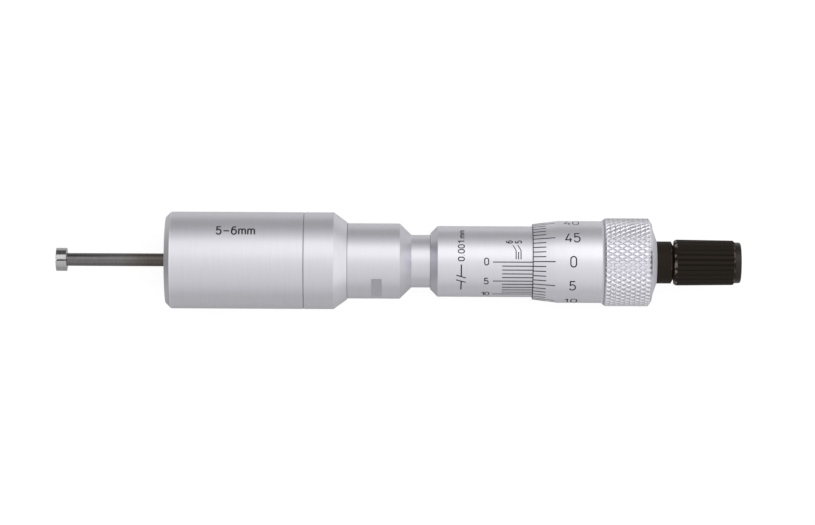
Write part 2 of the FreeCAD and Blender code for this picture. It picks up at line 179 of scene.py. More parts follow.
# Thimble's scale
THIMBLE_DIVISIONS = 50
THIMBLE_LEAD = 0.05
FIFTH_END_X = 101.80
DIVISION_END_X = 99.90
NUMERAL_HEIGHT = 2.15

# Numerals of the thimble: place along X, width of the strokes and gap, and the ones that differ
NUMERAL = (105.37, 0.26, 0.22)
OTHER_NUMERALS = {0: (105.50, 0.26, 0.22), 10: (105.10, 0.26, 0.34), 40: (105.20, 0.19, 0.22)}

# Widths of the scales' lines
SLEEVE_LINE = 0.20
THIMBLE_LINE = 0.215
SLANT_LINE = 0.17

# Ribbons of the marks: height over the surface, longest straight stretch, and how they go round corners
PROUD = 0.012
RIBBON_STEP = 0.35
TURN_BACK = 0.2
SMALLEST_COSINE = 0.6

# Painted shade lines in the gaps where turned parts meet: body, station along X, radius and width
MEETING_SHADE_LINES = {
    "drum_joint": ("body", DRUM_REAR_X, JOINT_RADIUS, 0.05),
    "handle_joint": ("body", HANDLE_X + 0.04, HANDLE_RADIUS, 0.07),
    "sleeve_joint": ("body", SLEEVE_X - 0.03, NECK_RADIUS, 0.05),
    "thimble_gap": ("spindle", THIMBLE_EDGE_X - 0.045, SLEEVE_RADIUS + 0.02, 0.09),
    "thimble_edge": ("spindle", THIMBLE_EDGE_X + 0.045, THIMBLE_EDGE_RADIUS, 0.09),
}

# Edges sharper than this stay sharp in the smooth shading
SHARP_ANGLE = math.radians(24)


# Meshes

def add_mesh(name, vertices, faces, body, material):
    """A mesh piece in millimetres that rides on a body of the frame."""
    mesh = bpy.data.meshes.new(name)
    mesh.from_pydata([(x * MM, y * MM, z * MM) for x, y, z in vertices], [], faces)
    mesh.materials.append(material)
    mesh.shade_smooth()
    mesh.set_sharp_from_angle(angle=SHARP_ANGLE)
    piece = bpy.data.objects.new(name, mesh)
    bpy.context.scene.collection.objects.link(piece)
    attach(piece, body)
    return piece


def on_axis(x, radius, angle):
    """A point at this radius; the angle runs from +Z towards +Y."""
    return (x, radius * math.sin(angle), radius * math.cos(angle))


def knurl_height(x, turn_share):
    """Height of the diamond pattern above the groove floor."""
    along = (x - KNURL_TOP_X) / KNURL_PITCH
    around = turn_share * KNURL_STARTS
    from_grooves = [abs(g - round(g)) for g in (along + around, along - around)]
    return KNURL_DEPTH * min(1, 2 * min(from_grooves) / KNURL_FLAT)


def thimble_profile():
    """Corners of the thimble's section, from the front of its bore round the outside to the web."""
    knurl = []
    step = KNURL_PITCH / KNURL_STEPS
    first = math.ceil((KNURL_FRONT_X - KNURL_TOP_X) / step)
    last = math.floor((CROWN[0][0] - KNURL_TOP_X) / step)
    for i in range(first, last + 1):
        x = KNURL_TOP_X + i * step
        knurl.append((x, knurl_base(x)))
    return [
        (THIMBLE_EDGE_X, THIMBLE_BORE),
        (THIMBLE_EDGE_X, THIMBLE_EDGE_RADIUS),
        (BEVEL_END_X, THIMBLE_RADIUS),
        (KNURL_FRONT_X, THIMBLE_RADIUS),
        *knurl,
        *CROWN,
        (THIMBLE_REAR_X, TAPER_AT_REAR),
        (WEB_X, TAPER_AT_WEB),
        (WEB_X, THIMBLE_BORE),
    ]


def knurl_base(x):
    """Radius of the blank from which the knurl is cut."""
    if x < KNURL_TOP_X:
        share = (x - KNURL_FRONT_X) / (KNURL_TOP_X - KNURL_FRONT_X)
        return THIMBLE_RADIUS + share * (KNURL_RADIUS - THIMBLE_RADIUS)
    if x > KNURL_REAR_X:
        share = (x - KNURL_REAR_X) / (CROWN[0][0] - KNURL_REAR_X)
        return KNURL_RADIUS + share * (CROWN[0][1] - KNURL_RADIUS)
    return KNURL_RADIUS


def thimble_radius_at(x, radius, turn_share):
    """Radius of the finished thimble, with the knurl's grooves cut where it is wide enough."""
    if KNURL_FRONT_X < x < CROWN[0][0]:
        return min(radius, KNURL_RADIUS - KNURL_DEPTH + knurl_height(x, turn_share))
    return radius


def thimble(material):
    """Thimble with its bevel, smooth drum, diamond knurl and crown."""
    profile = thimble_profile()
    around = KNURL_STARTS * KNURL_STEPS
    radii = [[thimble_radius_at(x, r, j / around) for j in range(around)] for x, r in profile]
    vertices = []
    for (x, _), row in zip(profile, radii):
        vertices += [on_axis(x, row[j], 2 * math.pi * j / around) for j in range(around)]
    faces = []
    rows = len(profile)
    for i in range(rows):
        k = (i + 1) % rows
        for j in range(around):
            n = (j + 1) % around
            a, b, c, d = (i * around + j, i * around + n, k * around + n, k * around + j)
            ridge = radii[i][j] + radii[k][n] - radii[i][n] - radii[k][j]
            if abs(ridge) < TINY:
                faces.append((a, d, c, b))
            elif split_along_ac((profile[i][0] + profile[k][0]) / 2, (j + 0.5) / around, ridge):
                faces += [(a, d, c), (a, c, b)]
            else:
                faces += [(a, d, b), (b, d, c)]
    piece = add_mesh("thimble_knurled", vertices, faces, "spindle", material)
    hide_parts("thimble")


def split_along_ac(x, turn_share, ridge):
    """Whether a square of the grid is better split along its first diagonal."""
    high = knurl_height(x, turn_share) > 0
    return (ridge > 0) == high


def return_spring(material):
    """The return spring with its round wire; the real one shortens when the needle goes forward, this one
    stays as built.
    """
    steps = SPRING_TURNS * SPRING_STEPS
    rise = SPRING_REAR_X - SPRING_FRONT_X - SPRING_WIRE
    vertices = []
    for i in range(steps + 1):
        x = SPRING_FRONT_X + SPRING_WIRE / 2 + rise * i / steps
        vertices += wire_section(x, math.pi / 2 - 2 * math.pi * i / SPRING_STEPS)
    faces = [tuple(range(WIRE_SIDES)), tuple(reversed(range(len(vertices) - WIRE_SIDES, len(vertices))))]
    for i in range(steps):
        for k in range(WIRE_SIDES):
            a, b = i * WIRE_SIDES + k, i * WIRE_SIDES + (k + 1) % WIRE_SIDES
            faces.append((a, a + WIRE_SIDES, b + WIRE_SIDES, b))
    piece = add_mesh("return_spring_coil", vertices, faces, "body", material)
    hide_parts("return_spring")
    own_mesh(piece)


def wire_section(x, angle):
    """Points of the wire's section at this angle about the axis."""
    half = SPRING_WIRE / 2
    turns = [2 * math.pi * k / WIRE_SIDES for k in range(WIRE_SIDES)]
    return [on_axis(x + half * math.sin(t), SPRING_RADIUS + half * math.cos(t), angle) for t in turns]


# Marks: thin ribbons that lie on a turned surface

class Surface:
    """A turned surface with a radius at each station; s is measured round it from its top, at +Z."""

    def __init__(self, radius_at):
        self.radius_at = radius_at

    def point(self, x, s, reference):
        return on_axis(x, self.radius_at(x) + PROUD, s / reference)


def cylinder(radius):
    return Surface(lambda x: radius)


def bevel_radius(x):
    """Radius of the thimble's outside in front of the knurl."""
    share = min(1, (x - THIMBLE_EDGE_X) / (BEVEL_END_X - THIMBLE_EDGE_X))
    return THIMBLE_EDGE_RADIUS + share * (THIMBLE_RADIUS - THIMBLE_EDGE_RADIUS)


class Marks:
    """Collects the ribbons of one piece."""

    def __init__(self, surface, reference):
        self.surface = surface
        self.reference = reference
        self.vertices = []
        self.faces = []

    def line(self, points, width):
        """A ribbon of this width along points (x, s) in the unrolled surface."""
        points = subdivided(points)
        closed = math.dist(points[0], points[-1]) < TINY
        start = len(self.vertices)
        for i, (x, s) in enumerate(points):
            nx, ns = side_vector(points, i, closed)
            for side in (1, -1):
                u, v = x + side * nx * width / 2, s + side * ns * width / 2
                self.vertices.append(self.surface.point(u, v, self.reference))
        for i in range(len(points) - 1):
            a = start + 2 * i
            self.faces.append((a, a + 1, a + 3, a + 2))

    def text(self, text, height, width, place, stretch=1.0, gap=0.2):
        """Stroke letters; place turns a point of the text into (x, s)."""
        for stroke in text_strokes(text, stretch, gap):
            self.line([place(height * u, height * v) for u, v in stroke], width)

    def finish(self, name, body, material):
        """The collected ribbons as one piece."""
        add_mesh(name, self.vertices, self.faces, body, material)


def subdivided(points):
    """The same line with no stretch longer than the ribbon's step."""
    out = [points[0]]
    for a, b in zip(points, points[1:]):
        count = max(1, math.ceil(math.dist(a, b) / RIBBON_STEP))
        for i in range(1, count + 1):
            out.append((a[0] + (b[0] - a[0]) * i / count, a[1] + (b[1] - a[1]) * i / count))
    return out


def side_vector(points, i, closed):
    """Unit vector across the line at a point, a little longer in its corners."""
    before = points[i - 1] if i else (points[-2] if closed else None)
    after = points[i + 1] if i + 1 < len(points) else (points[1] if closed else None)
    here = points[i]
    directions = [unit(a, b) for a, b in ((before, here), (here, after)) if a and b]
    dx = sum(d[0] for d in directions)
    ds = sum(d[1] for d in directions)
    length = math.hypot(dx, ds)
    if length < TURN_BACK:
        dx, ds = directions[0]
        length = 1
    across = (-ds / length, dx / length)
    cosine = abs(across[0] * -directions[0][1] + across[1] * directions[0][0])
    stretch = 1 / max(cosine, SMALLEST_COSINE)
    return across[0] * stretch, across[1] * stretch


def unit(a, b):
    length = math.dist(a, b)
    return (b[0] - a[0]) / length, (b[1] - a[1]) / length


# Letters: strokes in a box of height 1, each with its width

def arc(cx, cy, rx, ry, start, end, steps=14):
    """Points of an ellipse's arc, angles in degrees."""
    angles = [math.radians(start + (end - start) * i / steps) for i in range(steps + 1)]
    return [(cx + rx * math.cos(a), cy + ry * math.sin(a)) for a in angles]


def oval(width):
    """The numeral 0: two half rounds with straight sides."""
    r = width / 2
    top = arc(r, 0.72, r, 0.28, 0, 180)
    bottom = arc(r, 0.28, r, 0.28, 180, 360)
    return top + bottom + top[:1]


LETTERS = {
    "0": (0.54, [oval(0.54)]),
    "1": (0.28, [[(0.0, 0.74), (0.28, 1.0), (0.28, 0.0)]]),
    "2": (0.54, [arc(0.27, 0.73, 0.27, 0.27, 165, -35) + [(0.0, 0.0), (0.54, 0.0)]]),
    "3": (0.54, [
        arc(0.26, 0.76, 0.25, 0.24, 160, -90) + arc(0.26, 0.27, 0.28, 0.27, 90, -160),
    ]),
    "4": (0.60, [[(0.34, 1.0), (0.0, 0.24), (0.60, 0.24)], [(0.44, 0.46), (0.44, 0.0)]]),
    "5": (0.54, [[(0.50, 1.0), (0.06, 1.0), (0.04, 0.55)] + arc(0.25, 0.32, 0.29, 0.32, 128, -155)]),
    "6": (0.56, [
        arc(0.28, 0.32, 0.28, 0.32, 0, 360, 22),
        [(0.50, 0.90), (0.40, 0.99), (0.26, 0.99), (0.12, 0.87), (0.03, 0.64), (0.0, 0.34)],
    ]),
    "m": (0.78, [
        [(0.0, 0.0), (0.0, 0.70)],
        [(0.0, 0.48)] + arc(0.20, 0.48, 0.19, 0.22, 150, 0, 8) + [(0.39, 0.0)],
        [(0.39, 0.48)] + arc(0.59, 0.48, 0.19, 0.22, 150, 0, 8) + [(0.78, 0.0)],
    ]),
    ".": (0.13, [[(0.065, 0.0), (0.065, 0.08)]]),
    "-": (0.66, [[(0.0, 0.44), (0.66, 0.44)]]),
}


def text_strokes(text, stretch, gap):
    """Strokes of a line of text, centred on its width and standing on 0."""
    widths = [stretch * LETTERS[c][0] for c in text]
    at = -(sum(widths) + gap * (len(text) - 1)) / 2
    strokes = []
    for c, width in zip(text, widths):
        strokes += [[(at + stretch * u, v) for u, v in line] for line in LETTERS[c][1]]
        at += width + gap
    return strokes


def text_along(x, s, height):
    """Where the points of a text go that reads along the axis, centred on (x, s)."""
    return lambda u, v: (x + u, s + v - height / 2)


def text_round(x, s, height):
    """Where the points of a text go that reads round the instrument, towards +Y."""
    return lambda u, v: (x - v + height / 2, s + u)


def drum_marks(ink_and_shade):
    """The measuring range on the drum."""
    marks = Marks(cylinder(DRUM_RADIUS), DRUM_RADIUS)
    place = text_along(RANGE_X, RANGE_ANGLE * DRUM_RADIUS, RANGE_HEIGHT)
    marks.text("5-6mm", RANGE_HEIGHT, RANGE_STROKE, place, stretch=0.89, gap=0.26)
    marks.finish("drum_range", "body", ink_and_shade)


def meeting_lines(ink_and_shade):
    """Painted shade lines all round, in the gaps where two turned parts meet."""
    for name, (body, x, radius, width) in MEETING_SHADE_LINES.items():
        marks = Marks(cylinder(radius), radius)
        marks.line([(x, -math.pi * radius), (x, math.pi * radius)], width)
        marks.finish(name, body, ink_and_shade)


def flats(material):
    """The milled faces of the handle's two spanner flats, laid thinly on them."""
    height = HANDLE_RADIUS - FLAT_DEPTH + PROUD / 2
    half = math.sqrt(HANDLE_RADIUS ** 2 - height ** 2)
    vertices = []
    for angle in (FLAT_ANGLE, FLAT_ANGLE + math.pi):
        for x, side in ((0, -1), (0, 1), (1, 1), (1, -1)):
            y = side * half * math.cos(angle) - height * math.sin(angle)
            z = side * half * math.sin(angle) + height * math.cos(angle)
            vertices.append((FLAT_X + x * FLAT_WIDTH, y, z))
    add_mesh("spanner_flats", vertices, [(0, 1, 2, 3), (4, 5, 6, 7)], "body", material)


def sleeve_marks(ink_and_shade):
    """Vernier, main scale, the value of a division and the sign beside it."""
    marks = Marks(cylinder(SLEEVE_RADIUS), SLEEVE_RADIUS)
    add_vernier(marks)
    add_main_scale(marks)
    for text, x, degrees, height, width, stretch, gap in DIVISION_VALUE:
        place = text_round(x, round_sleeve(degrees), height)
        marks.text(text, height, width, place, stretch=stretch, gap=gap)
    for (start_x, start), (end_x, end), width in DIVISION_SIGN:
        marks.line([(start_x, round_sleeve(start)), (end_x, round_sleeve(end))], width)
    marks.finish("sleeve_scale", "body", ink_and_shade)


def round_sleeve(degrees):
    """Length round the sleeve from its top."""
    return math.radians(degrees) * SLEEVE_RADIUS


def add_vernier(marks):
    """Ten divisions with the numerals 0, 5 and 10."""
    for i in range(VERNIER_LINES):
        s = -VERNIER_STEP * i * SLEEVE_RADIUS - VERNIER_DROP
        start = VERNIER_SHORT_X if i % 5 else VERNIER_LONG_X
        marks.line([(start, s), (VERNIER_END_X, s)], SLEEVE_LINE)
    for value, x, drop in VERNIER_NUMERALS:
        s = -VERNIER_STEP * int(value) * SLEEVE_RADIUS - drop
        marks.text(value, VERNIER_HEIGHT, VERNIER_STROKE, text_along(x, s, VERNIER_HEIGHT), stretch=1.06)


def add_main_scale(marks):
    """The lines of the 6 and the 5 with one between them, and slants up to their numerals."""
    for x, end in ((SIX_X, MAIN_END), (HALF_X, HALF_END), (FIVE_X, MAIN_END)):
        marks.line([(x, round_sleeve(MAIN_START)), (x, round_sleeve(end))], SLEEVE_LINE)
    for x, (value, value_x) in zip((SIX_X, FIVE_X), MAIN_NUMERALS):
        marks.line([(x, round_sleeve(MAIN_END)), (x - SLANT_REACH, round_sleeve(SLANT_END))], SLANT_LINE)
        place = text_round(value_x, round_sleeve(MAIN_NUMERAL_AT), MAIN_HEIGHT)
        marks.text(value, MAIN_HEIGHT, MAIN_STROKE, place, stretch=0.78)


def thimble_marks(ink_and_shade):
    """Fifty divisions round the thimble, with a numeral at each fifth."""
    marks = Marks(Surface(bevel_radius), THIMBLE_RADIUS)
    for i in range(THIMBLE_DIVISIONS):
        s = THIMBLE_LEAD - 2 * math.pi * i / THIMBLE_DIVISIONS * THIMBLE_RADIUS
        end = DIVISION_END_X if i % 5 else FIFTH_END_X
        marks.line([(THIMBLE_EDGE_X + 0.02, s), (end, s)], THIMBLE_LINE)
        if i % 5 == 0:
            x, width, gap = OTHER_NUMERALS.get(i, NUMERAL)
            marks.text(str(i), NUMERAL_HEIGHT, width, text_along(x, s, NUMERAL_HEIGHT), gap=gap)
    marks.finish("thimble_scale", "spindle", ink_and_shade)


# Materials

# Noise runs from about the first to about the second of these
NOISE_LOW = 0.3
NOISE_HIGH = 0.7

# Faint clouds in a metal's colour: how fine they are along X, across the radius and round the axis
CLOUD = (2600, 260, 1.5)

# The stem darkens between two stations along X to this share of its colour
STEM_FADE = (12, 18, (0.60, 0.54, 0.48))


class Nodes:
    """A short way to write a node tree."""

    def __init__(self, tree):
        self.tree = tree
        tree.nodes.clear()

    def add(self, kind, inputs=None, **settings):
        node = self.tree.nodes.new(kind)
        for key, value in settings.items():
            setattr(node, key, value)
        for key, value in (inputs or {}).items():
            if isinstance(value, bpy.types.NodeSocket):
                self.tree.links.new(value, node.inputs[key])
            else:
                node.inputs[key].default_value = value
        return node

    def math(self, operation, *values):
        return self.add("ShaderNodeMath", dict(enumerate(values)), operation=operation).outputs[0]

    def ramp(self, factor, stops):
        """A colour ramp from (position, colour) stops."""
        node = self.add("ShaderNodeValToRGB", {"Fac": factor})
        elements = node.color_ramp.elements
        while len(elements) < len(stops):
            elements.new(0.5)
        for element, (position, colour) in zip(elements, stops):
            element.position = position
            element.color = (*colour, 1)
        return node.outputs["Color"]


def new_material(name):
    """An empty material and its nodes."""
    material = bpy.data.materials.new(name)
    material.use_nodes = True
    return material, Nodes(material.node_tree)


def turned_coordinates(nodes, along, across, around):
    """Coordinates in which noise looks like the marks that a lathe leaves."""
    place = nodes.add("ShaderNodeTexCoord").outputs["Object"]
    split = nodes.add("ShaderNodeSeparateXYZ", {0: place})
    x, y, z = (split.outputs[i] for i in range(3))
    squares = nodes.math("ADD", nodes.math("MULTIPLY", y, y), nodes.math("MULTIPLY", z, z))
    radius = nodes.math("SQRT", squares)
    angle = nodes.math("ARCTAN2", y, z)
    return nodes.add("ShaderNodeCombineXYZ", {
        0: nodes.math("MULTIPLY", x, along),
        1: nodes.math("MULTIPLY", radius, across),
        2: nodes.math("MULTIPLY", angle, around),
    }).outputs[0]


def sawn_share(nodes):
    """1 near the plane of the split, on its faces and a thin strip along its edges, 0 elsewhere: where the
    slit's shade is painted.
    """
    place = nodes.add("ShaderNodeTexCoord").outputs["Object"]
    split = nodes.add("ShaderNodeSeparateXYZ", {0: place})
    across = nodes.math("MULTIPLY", split.outputs[1], math.cos(SPLIT_ANGLE))
    up = nodes.math("MULTIPLY", split.outputs[2], math.sin(SPLIT_ANGLE))
    distance = nodes.math("ABSOLUTE", nodes.math("ADD", across, up))
    return nodes.math("LESS_THAN", distance, SLIT_SHADE_REACH * MM)


def station(nodes):
    """The place along X, in metres."""
    place = nodes.add("ShaderNodeTexCoord").outputs["Object"]
    return nodes.add("ShaderNodeSeparateXYZ", {0: place}).outputs[0]


def within(nodes, start, end):
    """1 between two stations along X, 0 elsewhere."""
    behind = nodes.math("GREATER_THAN", station(nodes), start * MM)
    before = nodes.math("LESS_THAN", station(nodes), end * MM)
    return nodes.math("MULTIPLY", behind, before)


def shaded_along(nodes, colour, start, end, share):
    """The colour, multiplied by a share that is reached between two stations along X."""
    factor = nodes.add("ShaderNodeMapRange", {
        0: station(nodes), 1: start * MM, 2: end * MM, 3: 0.0, 4: 1.0,
    }).outputs[0]
    shade = nodes.ramp(factor, ((0.0, (1, 1, 1)), (1.0, share)))
    return nodes.add("ShaderNodeVectorMath", {0: colour, 1: shade}, operation="MULTIPLY").outputs[0]


def metal(name, dark, light, smooth, rough, bump, along=9000, around=0.6, slit_shade=False, fade=None, painted_light_zones=()):
    """A metal with fine marks in its colour, roughness and bump: rings, or lines where along is small.

    The split's faces and a thin strip along its edges can be painted dark as shade of the slit, and fade is
    what shaded_along takes. The zones list stretches along X as (start, end, share of the colour, roughness
    or None), where the share is painted light or shade.
    """
    material, nodes = new_material(name)
    rings = nodes.add("ShaderNodeTexNoise", {
        "Vector": turned_coordinates(nodes, along, along, around), "Scale": 1.0, "Detail": 3.0,
    }).outputs["Fac"]
    cloud = nodes.add("ShaderNodeTexNoise", {
        "Vector": turned_coordinates(nodes, *CLOUD), "Scale": 1.0, "Detail": 2.0,
    }).outputs["Fac"]
    colour = nodes.ramp(
        nodes.math("ADD", nodes.math("MULTIPLY", rings, 0.5), nodes.math("MULTIPLY", cloud, 0.5)),
        ((NOISE_LOW, dark), (NOISE_HIGH, light)),
    )
    roughness = nodes.add("ShaderNodeMapRange", {
        0: rings, 1: NOISE_LOW, 2: NOISE_HIGH, 3: smooth, 4: rough,
    }).outputs[0]
    normal = nodes.add("ShaderNodeBump", {"Strength": bump, "Distance": 2e-6, "Height": rings}).outputs[0]
    if fade:
        colour = shaded_along(nodes, colour, *fade)
    # Each zone scales the colour as painted light or shade on its stretch, and may change the roughness
    for start, end, share, zone_roughness in painted_light_zones:
        inside = within(nodes, start, end)
        scale = nodes.add("ShaderNodeMapRange", {0: inside, 1: 0.0, 2: 1.0, 3: 1.0, 4: share}).outputs[0]
        colour = nodes.add("ShaderNodeVectorMath", {0: colour, "Scale": scale}, operation="SCALE").outputs[0]
        if zone_roughness:
            roughness = nodes.add("ShaderNodeMapRange", {
                0: inside, 1: 0.0, 2: 1.0, 3: roughness, 4: zone_roughness,
            }).outputs[0]
    surface = nodes.add("ShaderNodeBsdfPrincipled", {
        "Base Color": colour, "Metallic": 1.0, "Roughness": roughness, "Normal": normal,
    }).outputs[0]
    # Painted shade of the slit: near black on the split's faces and along its edges
    if slit_shade:
        cut = nodes.add("ShaderNodeBsdfPrincipled", {
            "Base Color": (0.02, 0.02, 0.02, 1), "Roughness": 0.8, "Specular IOR Level": 0.1,
        }).outputs[0]
        surface = nodes.add("ShaderNodeMixShader", {0: sawn_share(nodes), 1: surface, 2: cut}).outputs[0]
    nodes.add("ShaderNodeOutputMaterial", {"Surface": surface})
    return material


def coating(name, dark, light, smooth, rough, scale, bump, specular, worn_and_glints=()):
    """A dull layer over metal with a fine grain, with a list of rubbed edges along X as (start, end,
    colour), lighter also as painted glints.
    """
    material, nodes = new_material(name)
    place = nodes.add("ShaderNodeTexCoord").outputs["Object"]
    grain = nodes.add("ShaderNodeTexNoise", {"Vector": place, "Scale": scale, "Detail": 4.0}).outputs["Fac"]
    colour = nodes.ramp(grain, ((NOISE_LOW, dark), (NOISE_HIGH, light)))
    patches = nodes.add("ShaderNodeTexNoise", {"Vector": place, "Scale": 900, "Detail": 2.0}).outputs["Fac"]
    # Lighter patches on the rubbed edges, partly painted glints
    for start, end, rubbed_and_glint in worn_and_glints:
        share = nodes.math("MULTIPLY", within(nodes, start, end), patches)
        rubbed_and_glint = nodes.ramp(share, ((0.44, (0, 0, 0)), (0.60, rubbed_and_glint)))
        colour = nodes.add("ShaderNodeVectorMath", {0: colour, 1: rubbed_and_glint}, operation="ADD").outputs[0]
    roughness = nodes.add("ShaderNodeMapRange", {
        0: grain, 1: NOISE_LOW, 2: NOISE_HIGH, 3: smooth, 4: rough,
    }).outputs[0]
    normal = nodes.add("ShaderNodeBump", {"Strength": bump, "Distance": 2e-5, "Height": grain}).outputs[0]
    shader = nodes.add("ShaderNodeBsdfPrincipled", {
        "Base Color": colour, "Roughness": roughness, "Normal": normal, "Specular IOR Level": specular,
    })
    nodes.add("ShaderNodeOutputMaterial", {"Surface": shader.outputs[0]})
    return material


def satin(name, painted_light_zones=(), dark=(0.775, 0.768, 0.825), light=(0.82, 0.812, 0.868)):
    """Satin chrome with fine turning marks."""
    return metal(name, dark, light, 0.33, 0.39, 0.10, painted_light_zones=painted_light_zones)


SATIN = satin("satin_chrome_look")
# The drum's nose is darker and the band behind it lighter: painted shade and light
DRUM = satin("satin_drum_look", (
    (NOSE_X + 0.05, NOSE_END_X, 0.88, None),
    (NOSE_END_X, NOSE_END_X + 0.25, 1.13, None),
))
# The collar's cone is lighter: painted light
COLLAR = satin("satin_collar_look", ((COLLAR_CONE_X, HANDLE_X + 0.1, 1.09, None),))
# The sleeve's front chamfer is darker and the sleeve behind it lighter: painted shade and light
SLEEVE = satin("satin_sleeve_look", (
    (SLEEVE_X - 0.1, SLEEVE_FACE_END, 0.89, None),
    (SLEEVE_FACE_END, THIMBLE_EDGE_X, 1.05, None),
))
# The bevel, the start of the knurl's front chamfer and the knurl are lighter, the rest of that chamfer
# darker: painted light and shade; the crown only gets rougher
KNURLED = satin("satin_thimble_look", (
    (THIMBLE_EDGE_X, KNURL_FRONT_X, 1.08, None),
    (KNURL_FRONT_X, KNURL_FRONT_X + 0.3, 1.2, 1.0),
    (KNURL_FRONT_X + 0.3, KNURL_TOP_X - 0.2, 0.85, 1.0),
    (KNURL_TOP_X - 0.2, CROWN[0][0] - 0.2, 1.13, 0.29),
    (CROWN[0][0] - 0.2, THIMBLE_REAR_X + 0.2, 1.0, 0.85),
), dark=(0.785, 0.778, 0.832), light=(0.825, 0.817, 0.872))
MILLED = metal(
    "milled_flat_look", (0.60, 0.60, 0.65), (0.68, 0.68, 0.73), 0.38, 0.46, 0.3, along=700, around=0.2,
)
# The head's polished steel, with its split painted dark as shade
POLISHED = metal("polished_steel_look", (0.49, 0.48, 0.48), (0.58, 0.57, 0.57), 0.10, 0.15, 0.1, slit_shade=True)
DARK = metal(
    "dark_steel_look", (0.17, 0.165, 0.165), (0.23, 0.225, 0.225), 0.24, 0.30, 0.1, along=60, around=14,
    fade=STEM_FADE,
)
MACHINED = metal("machined_steel_look", (0.52, 0.52, 0.53), (0.62, 0.62, 0.63), 0.25, 0.38, 0.5, along=6000)
SPRING = metal("spring_steel_look", (0.44, 0.44, 0.46), (0.54, 0.54, 0.56), 0.22, 0.32, 0.2)
BRONZE = metal("bronze_look", (0.56, 0.39, 0.20), (0.66, 0.47, 0.27), 0.28, 0.40, 0.4, along=6000)
BLACK = coating(
    "black_anodised_look", (0.0145, 0.010, 0.0062), (0.0215, 0.015, 0.0094), 0.50, 0.60, 9000, 0.2, 0.15,
    worn_and_glints=WORN_EDGES_AND_GLINTS,
)
CAP = coating("black_cap_look", (0.012, 0.007, 0.0035), (0.018, 0.011, 0.006), 0.20, 0.28, 9000, 0.1, 0.4)
# Dark ink of the scales, also the colour of the painted shade lines where parts meet
INK_AND_SHADE = coating("ink_and_shade_look", (0.012, 0.012, 0.013), (0.03, 0.03, 0.032), 0.5, 0.65, 12000, 0.2, 0.3)
LOOKS = {
    "satin_chrome": SATIN,
    "polished_steel": POLISHED,
    "dark_steel": DARK,
    "machined_steel": MACHINED,
    "spring_steel": SPRING,
    "bronze": BRONZE,
    "black_anodised": BLACK,
}
OWN_LOOKS = {"head_drum": DRUM, "drum_collar": COLLAR, "sleeve": SLEEVE, "end_cap": CAP}


def dress_nodes():
    """Every CAD node gets its own look, or that of its material slot."""
    for row in frame["record"]["subparts"]:
        mesh = frame["nodes"][row["node"]].data
        mesh.materials.clear()
        mesh.materials.append(OWN_LOOKS.get(row["node"], LOOKS[row["material_slot"]]))


# Studio

# Camera: place and distance in millimetres, lens in millimetres, roll in degrees
CAMERA_X = 71.48
CAMERA_Y = -0.28
CAMERA_DISTANCE = 814.7
CAMERA_LENS = 174.0
CAMERA_ROLL = 0.3

# Softbox: its angle in degrees from the top, and its distance, size and front end in metres
KEY_ANGLE = 30
KEY_DISTANCE = 0.70
KEY_SIZE = (1.05, 0.46)
KEY_START_X = -0.078
KEY_RADIANCE = 0.67
KEY_COLOUR = (1.0, 0.992, 0.978)

# Card: its two ends along X, its place across and its two ends upwards
CARD_X = (-24.0, 3.0)
CARD_Y = 60.0
CARD_Z = (-7.0, 56.0)
CARD_GREY = 0.24

# Brightness of the room: by the angle round the axis, a share of it by the direction along the axis,
# and one level for all that lies towards the ratchet, which takes over between two directions along X
ROOM = (
    (-90, 0.50), (-70, 0.64), (-50, 0.74), (-30, 0.78), (-15, 0.84), (0, 0.92), (10, 0.95), (16, 0.60),
    (44, 0.60), (50, 0.92), (58, 0.74), (70, 0.60), (80, 0.42), (90, 0.36),
)
ROOM_ALONG = ((-1.0, 0.22), (-0.65, 0.22), (-0.35, 0.85), (-0.16, 1.0), (1.0, 1.0))
ROOM_REAR = 0.90
ROOM_REAR_FROM = 0.5
ROOM_REAR_TO = 0.75

# Floor: brightness of its colour by the place across the instrument, and what the camera sees of it,
# which is its own white light and a grey on which the shadow shows
FLOOR_Z = -10.0
FLOOR_LEVELS = ((-100, 0.70), (-10, 0.70), (5, 0.90), (30, 0.90), (45, 0.52), (100, 0.52))
FLOOR_SPAN = 200
FLOOR_HALF = 3000
FLOOR_GLOW = 0.85
FLOOR_SHADE = 0.3


def camera():
    """Straight above the instrument, with a long lens."""
    data = bpy.data.cameras.new("camera")
    data.sensor_width = 36
    data.lens = CAMERA_LENS
    data.clip_start = 0.05
    data.clip_end = 20
    rig = bpy.data.objects.new("camera", data)
    rig.location = (CAMERA_X * MM, CAMERA_Y * MM, CAMERA_DISTANCE * MM)
    rig.rotation_euler = (0, 0, math.radians(CAMERA_ROLL))
    bpy.context.scene.collection.objects.link(rig)
    bpy.context.scene.camera = rig


def key_light():
    """A long softbox, a little behind the camera."""
    data = bpy.data.lights.new("softbox", "AREA")
    data.shape = "RECTANGLE"
    data.size, data.size_y = KEY_SIZE
    data.color = KEY_COLOUR
    data.energy = KEY_RADIANCE * math.pi * KEY_SIZE[0] * KEY_SIZE[1]
    lamp = bpy.data.objects.new("softbox", data)
    angle = math.radians(KEY_ANGLE)
    lamp.location = (
        KEY_START_X + KEY_SIZE[0] / 2, KEY_DISTANCE * math.sin(angle), KEY_DISTANCE * math.cos(angle),
    )
    lamp.rotation_euler = (-angle, 0, 0)
    lamp.visible_camera = False
    bpy.context.scene.collection.objects.link(lamp)


def plate(name, corners, material):
    """A flat piece of the studio with these corners in millimetres."""
    mesh = bpy.data.meshes.new(name)
    mesh.from_pydata([(x * MM, y * MM, z * MM) for x, y, z in corners], [], [(0, 1, 2, 3)])
    mesh.materials.append(material)
    piece = bpy.data.objects.new(name, mesh)
    bpy.context.scene.collection.objects.link(piece)
    return piece


